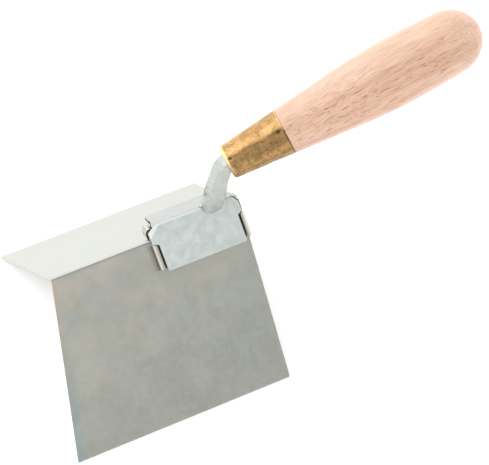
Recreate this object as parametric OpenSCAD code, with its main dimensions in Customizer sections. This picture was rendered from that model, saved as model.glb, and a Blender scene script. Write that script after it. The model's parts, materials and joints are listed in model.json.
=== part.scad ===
// Corner trowel with a folded blade, a welded saddle mount and a turned handle.
//
// The blade is a ridge: its fold runs along +X towards the handle, one wing falls away on each
// side of the plane Y = 0, and +Z points out of the ridge. The origin is on the outer ridge line
// at the front end of the fold.
//
// Sizes on a wing use three directions of its own: x along the fold, "down" the wing from the
// ridge line, and "out" from its outer face. on_wing() turns these into X, Y and Z.

/* [Blade] */
// Length of the fold
fold_length = 100; // [80:1:120]
// Width of each wing, from the ridge line to its far edge
wing_width = 90.5; // [60:0.5:110]
// Angle between the two wings
fold_angle = 95; // [85:1:110]
// How far the far edge of a wing runs forward of the fold
front_flare = 20; // [5:1:30]
// How far the far edge of a wing stops short of the fold at the back
back_inset = 6; // [0:0.5:8]
// Thickness of the sheet
sheet = 1; // [0.8:0.1:1.4]

/* [Tabs] */
// Outer faces of the front pair of tabs, along the fold
tab_front_x = 51; // [50:0.5:54]
// Start of a tab, down the wing
tab_start = 2.6; // [2:0.1:4]
// Length of a tab, down the wing
tab_length = 12.4; // [8:0.2:12.6]
// Height of a tab over the wing
tab_height = 5; // [4.4:0.1:5.4]
// Reach of a tab's lip over the saddle's toe
tab_lip = 2.5; // [2:0.1:2.8]

/* [Saddle] */
// Middle of the saddle, along the fold
saddle_x = 75.2; // [74.8:0.1:75.6]
// Length of the saddle over its four ears
saddle_length = 47.8; // [46:0.1:48]
// Width of each leg, from the virtual ridge to the lower edge
saddle_leg = 24; // [22:0.5:30]
// Height of the outer faces over the wings
saddle_stand = 8.7; // [8.5:0.1:10]
// Thickness of the plate
saddle_plate = 3; // [2:0.1:3]
// Depth of the notches that clear the tabs
notch_depth = 2.9; // [2.6:0.1:3.2]

/* [Neck] */
// Width of the square bar
neck_bar = 8; // [6:0.5:9]
// Where the neck meets the ridge of the saddle, along the fold
neck_foot_x = 85.4; // [80:0.2:88]
// Lean of the neck towards the handle
neck_lean = 19; // [5:1:25]
// Length of the straight part over the saddle
neck_straight = 23.2; // [18:0.2:30]
// Bend radius on the centre line
neck_bend = 7.5; // [6:0.5:10]
// Length of the tang inside the handle
tang_length = 62; // [40:1:80]

/* [Handle] */
// Rise of the handle's axis over the fold
handle_tilt = 13; // [0:1:25]
// Length of the ferrule
ferrule_length = 31; // [25:1:36]
// Outer radius of the ferrule at its mouth
mouth_radius = 8.6; // [8:0.1:9]
// Outer radius at the joint between the ferrule and the grip
joint_radius = 11.5; // [11:0.1:12]
// Wall of the ferrule
ferrule_wall = 0.8; // [0.5:0.1:1]
// Largest radius of the grip
belly_radius = 16.2; // [14:0.1:18]
// Radius of the grip where its rounded butt begins
butt_radius = 15.4; // [13:0.1:15.5]
// Length of the whole handle, from the ferrule's mouth to the butt
handle_length = 134.8; // [120:0.2:150]

/* [Hidden] */
$fn = 96;

half_fold = fold_angle / 2;
over = 1;                  // how far cutting solids run past what they cut
fit = 0.05;                // clearance between seated parts, and overlap of joined stretches

// Blade
fold_inner_radius = 0.6;
fold_outer_radius = fold_inner_radius + sheet;

// Tabs
tab_back_x = fold_length;
tab_inner_bend = 0.6;
tab_outer_bend = tab_inner_bend + sheet;
tab_root = 2.5;            // flat sheet between the back edge of a wing and a tab
slot_length = tab_height + tab_lip;
slot_gap = 0.3;

// Saddle
saddle_front = saddle_x - saddle_length / 2;
saddle_back = saddle_x + saddle_length / 2;
ridge_radius = 1.5;
ridge_inner_radius = 0.4;
ridge_z = saddle_stand / sin(half_fold);
ridge_up = ridge_z * cos(half_fold);   // the virtual ridge lies this far up the slope of a wing
ear_start = 2.9;           // down a leg, from the virtual ridge
ear_end = 8.6;
notch_start = 10;
ear_chamfer = 5.4;         // along the fold
leg_corner = 2;
hip_slope = 21;            // fall of the ridge at each end
toe_height = tab_height - sheet - fit;
toe_gap = 0.4;             // between a toe and the riser of its tab
toe_inset = 0.3;           // toes are this much shorter than the tabs at each end
flange = 3;

// Neck
bar_chamfer = 1.3;
tang_radius = 3;
tang_start = 4;            // inside the mouth of the ferrule
tang_tip = 12;
arc_inside = 2;            // the bend ends this far inside the ferrule
foot_depth = 8;            // the bar runs down to here before its foot is cut to the saddle

arc_start_x = neck_foot_x + neck_straight * sin(neck_lean);
arc_start_z = ridge_z + neck_straight * cos(neck_lean);
arc_x = arc_start_x + neck_bend * cos(neck_lean);
arc_z = arc_start_z - neck_bend * sin(neck_lean);
arc_end_x = arc_x - neck_bend * sin(handle_tilt);
arc_end_z = arc_z + neck_bend * cos(handle_tilt);
mouth_x = arc_end_x - arc_inside * cos(handle_tilt);
mouth_z = arc_end_z - arc_inside * sin(handle_tilt);

// Weld
bead_height = 2.2;
bead_front = 1.4;
bead_back = 3.4;
bead_side = 0.9;

// Handle
spigot_start = 4.5;        // inside the mouth of the ferrule
bore_radius = tang_radius + fit;
belly_at = 92;             // from the mouth of the ferrule
butt_at = handle_length - 16.8;
grip_flare = 0.08;         // slope of the grip where it leaves the ferrule
grip_steps = 12;
crown_steps = 6;
butt_steps = 12;

// Puts its children on a wing: their X runs along the fold, their Y down the wing from the ridge
// line and their Z out from the wing's outer face. side is 0 for the wing at +Y and 1 for -Y.
module on_wing(side) {
    mirror([0, side, 0])
        rotate([half_fold - 90, 0, 0])
            children();
}

// The same, measured down the slope from the saddle's virtual ridge.
module on_leg(side) {
    on_wing(side)
        translate([0, -ridge_up, 0])
            children();
}

// Puts its children on the handle's axis: their Z runs from the ferrule's mouth to the butt.
module on_handle() {
    translate([mouth_x, 0, mouth_z])
        rotate([0, 90 - handle_tilt, 0])
            children();
}

// Everything under two planes that stand `out` over the wings, with a rounded ridge. The shape
// is drawn as it is seen along the fold, across and up, and reaches `reach` down each slope.
module under_ridge(out, radius, reach) {
    centre = (out - radius) / sin(half_fold);
    side_y = radius * cos(half_fold);
    side_z = centre + radius * sin(half_fold);
    foot_y = side_y + reach * sin(half_fold);
    foot_z = side_z - reach * cos(half_fold);
    polygon([[-side_y, side_z], [-foot_y, foot_z], [foot_y, foot_z], [side_y, side_z]]);
    translate([0, centre])
        circle(radius);
}

// Runs a shape drawn across and up along the fold.
module along_fold(start, end) {
    translate([start, 0, 0])
        rotate([90, 0, 90])
            linear_extrude(end - start)
                children();
}

// A plate bent over the ridge, between two heights over the wings.
module bent_plate(start, end, inner_out, inner_radius, outer_out, outer_radius, reach) {
    along_fold(start, end)
        difference() {
            under_ridge(outer_out, outer_radius, reach);
            under_ridge(inner_out, inner_radius, reach + over);
        }
}

// Profile of a tab, seen down the wing: its riser stands on the wing and its lip turns to +X.
module tab_profile() {
    difference() {
        union() {
            translate([0, -sheet])
                square([tab_lip, tab_height + sheet - tab_outer_bend]);
            translate([tab_outer_bend, -sheet])
                square([tab_lip - tab_outer_bend, tab_height + sheet]);
            translate([tab_outer_bend, tab_height - tab_outer_bend])
                circle(tab_outer_bend);
        }
        translate([sheet, -sheet - over])
            square([tab_lip, tab_height - tab_inner_bend + over]);
        translate([sheet + tab_inner_bend, -sheet - over])
            square([tab_lip, tab_height + over]);
        translate([tab_outer_bend, tab_height - tab_outer_bend])
            circle(tab_inner_bend);
    }
}

// Small fillet between the wing and the outside of a riser.
module tab_fillet() {
    translate([-tab_inner_bend, 0])
        difference() {
            square(tab_inner_bend);
            translate([0, tab_inner_bend])
                circle(tab_inner_bend);
        }
}

module run_down_wing(start, length) {
    translate([0, start + length, 0])
        rotate([90, 0, 0])
            linear_extrude(length)
                children();
}

module front_tab() {
    translate([tab_front_x, 0, 0])
        run_down_wing(tab_start, tab_length) {
            tab_profile();
            tab_fillet();
        }
}

module back_tab() {
    translate([tab_back_x, 0, 0])
        mirror([1, 0, 0])
            run_down_wing(tab_start, tab_length) {
                tab_profile();
                translate([0, -sheet])
                    square([tab_root, sheet]);
            }
}

// Outline of one wing, across and down from the ridge line.
module wing_outline() {
    polygon([
        [0, 0],
        [fold_length, 0],
        [fold_length - back_inset, wing_width],
        [-front_flare, wing_width]
    ]);
}

module blade() {
    color([0.62, 0.61, 0.58])
        union() {
            difference() {
                intersection() {
                    bent_plate(-front_flare, fold_length, -sheet, fold_inner_radius,
                               0, fold_outer_radius, wing_width + over);
                    union()
                        for (side = [0, 1])
                            on_wing(side)
                                translate([0, 0, -sheet - over])
                                    linear_extrude(sheet + 2 * over)
                                        wing_outline();
                }
                // Slots that the front tabs are cut and bent up from
                for (side = [0, 1])
                    on_wing(side)
                        translate([tab_front_x + sheet, tab_start - slot_gap, -sheet - over])
                            cube([slot_length, tab_length + 2 * slot_gap, sheet + 2 * over]);
            }
            for (side = [0, 1])
                on_wing(side) {
                    front_tab();
                    back_tab();
                }
        }
}

// Half of the outline of one leg of the saddle, to the left of its middle.
function leg_left() = [
    [ear_chamfer, 0],
    [0, ear_start],
    [0, ear_end],
    [notch_depth, notch_start],
    [notch_depth, saddle_leg - leg_corner],
    [notch_depth + leg_corner, saddle_leg]
];

module leg_outline() {
    left = leg_left();
    last = len(left) - 1;
    right = [for (i = [last : -1 : 0]) [saddle_length - left[i][0], left[i][1]]];
    translate([saddle_front, 0])
        polygon(concat(left, right));
}

// Cuts the ridge of the saddle down to a sloping hip at its front end.
module hip_cut() {
    translate([saddle_front + ear_chamfer, 0, ridge_z])
        rotate([0, -hip_slope, 0])
            translate([-2 * saddle_length, -saddle_length / 2, 0])
                cube([2 * saddle_length, saddle_length, saddle_length]);
}

module saddle() {
    color([0.74, 0.78, 0.78])
        difference() {
            union() {
                intersection() {
                    bent_plate(saddle_front, saddle_back,
                               saddle_stand - saddle_plate, ridge_inner_radius,
                               saddle_stand, ridge_radius, saddle_leg + over);
                    union()
                        for (side = [0, 1])
                            on_leg(side)
                                linear_extrude(saddle_stand + over)
                                    leg_outline();
                }
                for (side = [0, 1])
                    on_leg(side)
                        saddle_feet();
            }
            hip_cut();
            translate([2 * saddle_x, 0, 0])
                mirror([1, 0, 0])
                    hip_cut();
        }
}

// Walls under one leg: a flange along its lower edge and one at each end, with the toes that
// the tabs hold.
module saddle_feet() {
    wall_front = saddle_front + notch_depth;
    wall_back = saddle_back - notch_depth;
    top = saddle_stand - saddle_plate / 2;
    translate([wall_front + leg_corner, saddle_leg - flange, 0])
        cube([wall_back - wall_front - 2 * leg_corner, flange, top]);
    for (x = [wall_front, wall_back - flange])
        translate([x, notch_start, 0])
            cube([flange, saddle_leg - notch_start - leg_corner, top]);
    toe_front = tab_front_x + sheet + toe_gap;
    toe_back = tab_back_x - sheet - toe_gap;
    toe_start = tab_start + toe_inset + ridge_up;
    toe_length = tab_length - 2 * toe_inset;
    translate([toe_front, toe_start, 0])
        cube([wall_front + flange - toe_front, toe_length, toe_height]);
    translate([wall_back - flange, toe_start, 0])
        cube([toe_back - wall_back + flange, toe_length, toe_height]);
}

// Section of the neck's bar, a square with its corners cut off.
module bar_section() {
    half = neck_bar / 2;
    flat = half - bar_chamfer;
    polygon([for (turn = [0 : 90 : 270], end = [-1, 1])
        [half * cos(turn) - end * flat * sin(turn), half * sin(turn) + end * flat * cos(turn)]]);
}

module neck_bar_solid() {
    translate([arc_start_x, 0, arc_start_z])
        rotate([0, neck_lean, 0])
            translate([0, 0, -neck_straight - foot_depth])
                linear_extrude(neck_straight + foot_depth + fit)
                    bar_section();
    translate([arc_x, 0, arc_z])
        rotate([90, 0, 0])
            rotate([0, 0, 90 + handle_tilt])
                rotate_extrude(angle = 90 - neck_lean - handle_tilt)
                    translate([neck_bend, 0])
                        bar_section();
    on_handle() {
        translate([0, 0, arc_inside - fit])
            linear_extrude(tang_start - arc_inside + fit)
                bar_section();
        translate([0, 0, tang_start])
            cylinder(r = tang_radius, h = tang_length - tang_tip);
        translate([0, 0, tang_start + tang_length - tang_tip])
            cylinder(r1 = tang_radius, r2 = tang_radius / 3, h = tang_tip);
    }
}

module neck() {
    color([0.72, 0.74, 0.72])
        difference() {
            neck_bar_solid();
            along_fold(neck_foot_x - 2 * neck_bar, neck_foot_x + 2 * neck_bar)
                under_ridge(saddle_stand, ridge_radius, saddle_leg);
        }
}

// One side of the weld bead, a ramp that follows the slope of a leg from the ridge down.
module bead_half() {
    front = neck_foot_x - neck_bar / 2 / cos(neck_lean);
    back = neck_foot_x + neck_bar / 2 / cos(neck_lean);
    length = neck_bar / 2 / sin(half_fold) + bead_side;
    intersection() {
        on_leg(0)
            translate([0, 0, saddle_stand])
                run_down_wing(-bead_height, length + bead_height)
                    polygon([
                        [front - bead_front, 0],
                        [back + bead_back, 0],
                        [back + bead_back / 3, bead_height],
                        [front + bead_front / 3, bead_height]
                    ]);
        cube([fold_length, wing_width, 2 * ridge_z]);
    }
}

module weld() {
    color([0.70, 0.71, 0.68])
        difference() {
            union() {
                bead_half();
                mirror([0, 1, 0])
                    bead_half();
            }
            neck_bar_solid();
            along_fold(neck_foot_x - 2 * neck_bar, neck_foot_x + 2 * neck_bar)
                under_ridge(saddle_stand, ridge_radius, saddle_leg);
        }
}

// Outer radius of the ferrule at a distance from its mouth.
function ferrule_radius(at) =
    mouth_radius + (joint_radius - mouth_radius) * at / ferrule_length;

module ferrule() {
    lip = ferrule_wall;
    color([0.72, 0.56, 0.28])
        on_handle()
            rotate_extrude()
                polygon([
                    [mouth_radius - lip - ferrule_wall / 2, 0],
                    [mouth_radius - lip / 2, 0],
                    [ferrule_radius(lip), lip],
                    [joint_radius, ferrule_length],
                    [joint_radius - ferrule_wall, ferrule_length],
                    [ferrule_radius(lip) - ferrule_wall, lip],
                    [mouth_radius - lip - ferrule_wall / 2, lip]
                ]);
}

// Radius of the grip between the ferrule and its belly, a cubic that leaves the ferrule at
// grip_flare and levels out at the belly.
function grip_radius(u) =
    (2 * pow(u, 3) - 3 * pow(u, 2) + 1) * joint_radius
    + (pow(u, 3) - 2 * pow(u, 2) + u) * grip_flare * (belly_at - ferrule_length)
    + (3 * pow(u, 2) - 2 * pow(u, 3)) * belly_radius;

// Outline of the grip from the ferrule over the belly to the tip of the butt, as radius and
// distance from the mouth.
function grip_outline() = concat(
    [for (i = [0 : grip_steps - 1]) let (u = i / grip_steps)
        [grip_radius(u), ferrule_length + u * (belly_at - ferrule_length)]],
    [for (i = [0 : crown_steps - 1]) let (u = i / crown_steps)
        [belly_radius - (belly_radius - butt_radius) * pow(u, 2), belly_at + u * (butt_at - belly_at)]],
    [for (i = [0 : butt_steps]) let (a = 90 * i / butt_steps)
        [butt_radius * cos(a), butt_at + (handle_length - butt_at) * sin(a)]]
);

module handle() {
    inner = ferrule_wall + fit;
    color([0.86, 0.68, 0.52])
        on_handle()
            difference() {
                rotate_extrude()
                    polygon(concat(
                        [
                            [0, spigot_start],
                            [ferrule_radius(spigot_start) - inner, spigot_start],
                            [joint_radius - inner, ferrule_length]
                        ],
                        grip_outline()
                    ));
                translate([0, 0, spigot_start - over])
                    cylinder(r = bore_radius, h = tang_start + tang_length + fit - spigot_start + over);
            }
}

blade();
saddle();
neck();
weld();
ferrule();
handle();
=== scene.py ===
"""Corner trowel: a folded steel blade, a zinc plated saddle, a bent neck, a brass ferrule and a beech grip.

Lengths are millimetres in the CAD model's frame, or metres where a name ends in _M. X runs along the fold
towards the handle and Z out of the ridge. On a wing, `down` is from the ridge line and `out` from its face.
"""

import json
import math

import bmesh
import bpy
from mathutils import Matrix, Vector, noise


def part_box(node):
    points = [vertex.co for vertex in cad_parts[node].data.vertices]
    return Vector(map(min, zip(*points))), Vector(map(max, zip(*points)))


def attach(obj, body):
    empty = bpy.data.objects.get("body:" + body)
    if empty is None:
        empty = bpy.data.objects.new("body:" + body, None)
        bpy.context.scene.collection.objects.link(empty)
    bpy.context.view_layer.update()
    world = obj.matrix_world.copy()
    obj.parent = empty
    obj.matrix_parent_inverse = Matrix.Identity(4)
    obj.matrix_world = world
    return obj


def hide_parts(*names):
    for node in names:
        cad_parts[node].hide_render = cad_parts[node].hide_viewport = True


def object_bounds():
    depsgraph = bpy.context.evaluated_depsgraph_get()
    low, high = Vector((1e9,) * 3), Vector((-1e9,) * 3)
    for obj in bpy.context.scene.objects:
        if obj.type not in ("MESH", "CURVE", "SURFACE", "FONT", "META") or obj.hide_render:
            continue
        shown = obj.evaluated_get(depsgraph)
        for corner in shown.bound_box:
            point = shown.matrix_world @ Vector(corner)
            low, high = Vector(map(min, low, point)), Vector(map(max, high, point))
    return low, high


MM = 0.001
NEAR = 1e-4  # closer than this is the same place
CUT_SNAP = 1e-5  # a cut snaps to what is closer than this
ACROSS = Vector((0, 1, 0))
WHITE = (1.0, 1.0, 1.0)

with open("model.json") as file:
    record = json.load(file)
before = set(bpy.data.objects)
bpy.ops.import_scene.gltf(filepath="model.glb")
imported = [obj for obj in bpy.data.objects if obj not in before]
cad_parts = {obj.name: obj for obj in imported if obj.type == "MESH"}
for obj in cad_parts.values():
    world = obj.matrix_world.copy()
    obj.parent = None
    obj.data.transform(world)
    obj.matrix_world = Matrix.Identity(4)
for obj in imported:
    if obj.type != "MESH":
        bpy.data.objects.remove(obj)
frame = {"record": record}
cad_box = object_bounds()


# Sizes read from the frame


def box_mm(node):
    low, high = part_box(node)
    return low / MM, high / MM


blade_low, blade_high = box_mm("blade")
saddle_low, saddle_high = box_mm("saddle")
ferrule_high = box_mm("ferrule")[1]
handle_high = box_mm("handle")[1]
wing_face = next(m for m in frame["record"]["mounts"] if m["name"] == "left_wing_face")

HALF_FOLD = math.atan2(-wing_face["axis"][2], wing_face["axis"][1])
SHEET = Vector(wing_face["pos_m"]).dot(Vector(wing_face["axis"])) / MM
SIN_FOLD = math.sin(HALF_FOLD)
COS_FOLD = math.cos(HALF_FOLD)
FOLD_TURN = math.pi / 2 - HALF_FOLD  # from straight up to the outer face of a wing

FOLD_LENGTH = blade_high.x
FRONT_FLARE = -blade_low.x
WING_WIDTH = blade_high.y / SIN_FOLD
BACK_INSET = 6.0
FOLD_RADIUS = 1.1
CREASE_LINE = 0.6  # a painted shade line this far down one wing from the ridge line

# Tabs

FRONT_TAB_X = 51.0  # front face of the front tabs' risers
BACK_TAB_X = FOLD_LENGTH
TAB_START = 2.5
TAB_END = 15.1
TAB_HEIGHT = 5.0
FRONT_LIP = 2.8
BACK_LIP = 2.35
ROOT_BEND = 0.9  # radius in the corner between a wing and a tab
HOOK_BEND = 2.3  # outer radius of a tab's hook
SLIT = 0.3  # beside each tab
SLOT_LENGTH = 7.5  # from the back of a front tab's riser
TAB_CORNER = 0.5

# Saddle

PLATE = 3.0
RIDGE_RADIUS = 1.5
RIDGE_INNER_RADIUS = 0.4
RIDGE_Z = saddle_high.z + RIDGE_RADIUS * (1 / SIN_FOLD - 1)  # the virtual ridge of its outer faces
STAND = RIDGE_Z * SIN_FOLD  # height of its outer faces over the wings
LEG = saddle_high.y / SIN_FOLD
SADDLE_X = (saddle_low.x + saddle_high.x) / 2
SADDLE_HALF = (saddle_high.x - saddle_low.x) / 2
RIDGE_HALF = 20.9  # half the saddle's length at its ridge
EAR_START = 2.2  # down a leg from the ridge
EAR_END = 8.9
NOTCH_START = 10.2
NOTCH = 3.2
WALL_HALF = SADDLE_HALF - NOTCH
LEG_CORNER = 1.0
FLANGE = 3.0
FEET_CLEARANCE = 0.05
FEET_START = 10.9
TOE = 1.4
TOE_HEIGHT = 3.5
# Pressed corners: where the bend starts on the ridge, how far along the fold it gets after which distance
# down the leg, and how many degrees it slopes.
FRONT_HIP = (17.2, 6.7, 6.6, 44)
BACK_HIP = (20.0, 1.2, 10.0, 32)

# Ferrule and handle

HANDLE_TILT = math.radians(13)
ALONG = Vector((math.cos(HANDLE_TILT), 0, math.sin(HANDLE_TILT)))
ABOVE = Vector((-math.sin(HANDLE_TILT), 0, math.cos(HANDLE_TILT)))
FERRULE_LENGTH = 31.0
FERRULE_WALL = 0.8
MOUTH_RADIUS = 8.6
MOUTH_ROLL = 1.5
MOUTH_LIP = 1.7
INNER_INSET = 3.0  # of the ends of its straight inner wall
SEAM_ANGLE = math.radians(30)  # round the ferrule, from its top towards -Y
SEAM_START = 2.6  # dark spots end the seam, this far from the ferrule's mouth
SEAM_END = 28.2
SEAM_DEPTH = 0.05
SEAM_SPREAD = 1.3
SPOT_DEPTH = 0.4
UNEVENNESS = 0.12
SPIGOT_START = 4.5
SPIGOT_GAP = 1.9  # from the ferrule's outer face to the spigot inside it
JOINT_RADIUS = ferrule_high.y
JOINT_SLOPE = 0.08
BELLY_RADIUS = handle_high.y
BUTT_RADIUS = 15.4
BELLY_AT = 92.0
BUTT_AT = 118.0
HANDLE_LENGTH = 134.8
JOINT = Vector((ferrule_high.x, 0, ferrule_high.z)) - JOINT_RADIUS * Vector((ALONG.z, 0, ALONG.x))
MOUTH = JOINT - FERRULE_LENGTH * ALONG

# Neck and weld. Depth is along the fold and width across it.

NECK_LEAN = math.radians(19)
NECK_STRAIGHT = 23.2
NECK_BEND = 7.5
NECK_DEPTH = 8.6
NECK_TAPER = 1.5  # lost from its depth on the way up
TAPER_SPEED = 1.4  # the taper ends before the neck does
NECK_WIDTH = 8.0
NECK_CORNER = 1.25
NECK_LENGTH = 37.0  # from its foot to its last ring inside the ferrule
NECK_SKIPPED = 3  # places above the foot without a ring
BEND_STEPS = 12
BEND_INSIDE = 2.0  # the bend ends this far inside the ferrule
FLARE_HEIGHT = 15.0
FLARE_DEPTH = 2.4
FLARE_SHIFT = 0.75  # of the foot's middle, towards the handle
FLARE_NARROWING = 0.5
FLARE_ROUNDING = 2.45
WELD_HALF_DEPTH = 5.4
WELD_HALF_WIDTH = 3.75
BEAD_RADIUS = 0.4
BEAD_SWELLING = 0.75
BEAD_FLATNESS = 0.8


# Shared places


def at_handle(along, radius, angle):
    """Point round the handle's axis; the angle starts at its top and turns towards -Y."""
    return MOUTH + ALONG * along + ABOVE * radius * math.cos(angle) - Vector((0, radius * math.sin(angle), 0))


def ferrule_radius(along):
    return MOUTH_RADIUS + (JOINT_RADIUS - MOUTH_RADIUS) * along / FERRULE_LENGTH


def on_ferrule(along, angle):
    return at_handle(along, ferrule_radius(along), angle)


SCRATCH = on_ferrule(19.5, math.radians(8))
JOINT_GAP = on_ferrule(FERRULE_LENGTH, math.radians(34))
SEAM_SPOTS = [on_ferrule(along, SEAM_ANGLE) for along in (SEAM_START, SEAM_END)]
NECK_UP = Vector((math.sin(NECK_LEAN), 0, math.cos(NECK_LEAN)))
NECK_FRONT = Vector((-NECK_UP.z, 0, NECK_UP.x))
BEND_END = MOUTH + BEND_INSIDE * ALONG
BEND_CENTRE = BEND_END - NECK_BEND * ABOVE
BEND_START = BEND_CENTRE + NECK_BEND * NECK_FRONT
FOOT = BEND_START - NECK_STRAIGHT * NECK_UP  # where the neck's middle line meets the saddle's ridge
CASTING_MARKS = FOOT + 8.6 * NECK_UP + 4.2 * NECK_FRONT + 2 * ACROSS


# Shared mesh helpers


def add_object(name, data):
    item = bpy.data.objects.new(name, data)
    bpy.context.scene.collection.objects.link(item)
    return item


def make_piece(name, points, faces, material, slot, *nodes):
    """Makes a piece from points in millimetres; it stands for CAD nodes and rides on the one body."""
    mesh = bpy.data.meshes.new(name)
    mesh.from_pydata([Vector(p) * MM for p in points], [], faces)
    mesh.materials.append(material)
    solid = bmesh.new()
    solid.from_mesh(mesh)
    bmesh.ops.recalc_face_normals(solid, faces=solid.faces)
    solid.to_mesh(mesh)
    solid.free()
    mesh.shade_smooth()
    piece = add_object(name, mesh)
    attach(piece, "root")
    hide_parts(*nodes)
    return piece


def darken(piece, material, chosen):
    """Gives a second material to the faces that chosen(centre, normal) picks, in millimetres."""
    piece.data.materials.append(material)
    for face in piece.data.polygons:
        if chosen(face.center / MM, face.normal):
            face.material_index = 1


def soften_edges(piece, width, segments=2, limit=35):
    """Rounds a piece's sharp edges and shades its flat faces flat."""
    bevel = piece.modifiers.new("round", "BEVEL")
    bevel.width = width * MM
    bevel.segments = segments
    bevel.limit_method = "ANGLE"
    bevel.angle_limit = math.radians(limit)
    shade = piece.modifiers.new("shade", "WEIGHTED_NORMAL")
    shade.keep_sharp = False
    shade.weight = 100
    bpy.context.view_layer.update()
    graph = bpy.context.evaluated_depsgraph_get()
    piece.data = bpy.data.meshes.new_from_object(piece.evaluated_get(graph))
    piece.modifiers.clear()


def walk(segments, distance):
    """Place and heading after a distance along a path of (length, turn) stretches; left is positive."""
    place = Vector((0.0, 0.0))
    heading = 0.0
    for length, turn in segments:
        run = min(distance, length)
        distance -= run
        swing = turn * run / length
        if swing:
            radius = length / turn
            place.x += radius * (math.sin(heading + swing) - math.sin(heading))
            place.y += radius * (math.cos(heading) - math.cos(heading + swing))
        else:
            place += run * Vector((math.cos(heading), math.sin(heading)))
        heading += swing
    return place, heading


def crease(flat, place, normal, faces=None):
    """Cuts a flat pattern, or some of its faces, along a line."""
    faces = list(flat.faces) if faces is None else faces
    edges = dict.fromkeys(e for f in faces for e in f.edges)
    verts = dict.fromkeys(v for f in faces for v in f.verts)
    bmesh.ops.bisect_plane(
        flat,
        geom=[*faces, *edges, *verts],
        dist=CUT_SNAP,
        plane_co=(*place, 0),
        plane_no=(*normal, 0),
    )


def faces_within(flat, x_low, x_high, y_low, y_high):
    found = []
    for face in flat.faces:
        centre = face.calc_center_median()
        if x_low < centre.x < x_high and y_low < centre.y < y_high:
            found.append(face)
    return found


def shell(flat, place, thickness):
    """Points and faces of the solid that place(vertex, depth) makes of a flat pattern."""
    flat.verts.index_update()
    verts = list(flat.verts)
    count = len(verts)
    points = [place(v, depth) for depth in (0, thickness) for v in verts]
    faces = []
    for face in flat.faces:
        ring = [v.index for v in face.verts]
        faces.append(ring)
        faces.append([count + i for i in reversed(ring)])
    for edge in flat.edges:
        if len(edge.link_loops) == 1:
            loop = edge.link_loops[0]
            a = loop.vert.index
            b = loop.link_loop_next.vert.index
            faces.append([b, a, count + a, count + b])
    return points, faces


def turns(count):
    """Angles that divide a full turn."""
    return [2 * math.pi * i / count for i in range(count)]


def loft(rings, closed=False):
    """Points and faces of a skin over rings, capped at both ends unless it closes on itself."""
    size = len(rings[0])
    points = [p for ring in rings for p in ring]
    faces = []
    steps = len(rings) if closed else len(rings) - 1
    for i in range(steps):
        j = (i + 1) % len(rings)
        for k in range(size):
            m = (k + 1) % size
            faces.append([i * size + k, i * size + m, j * size + m, j * size + k])
    if not closed:
        faces.append(list(range(size))[::-1])
        faces.append([(len(rings) - 1) * size + k for k in range(size)])
    return points, faces


def on_wing(side, x, down, out):
    """Point on a wing; side is 1 for the wing at +Y and -1 for the one at -Y."""
    return Vector((x, side * (down * SIN_FOLD + out * COS_FOLD), out * SIN_FOLD - down * COS_FOLD))


def over_ridge(across, top, radius, flat_start):
    """Place across and up of a point of a rounded V, by its distance across the V's skin.

    top is the height of its virtual ridge, and its flanks begin at the distance flat_start."""
    side = 1 if across > 0 else -1
    distance = abs(across)
    angle = FOLD_TURN * min(1, distance / flat_start)
    run = max(0.0, distance - flat_start)
    y = radius * math.sin(angle) + run * SIN_FOLD
    return side * y, top - radius / SIN_FOLD + radius * math.cos(angle) - run * COS_FOLD


# Materials


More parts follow.
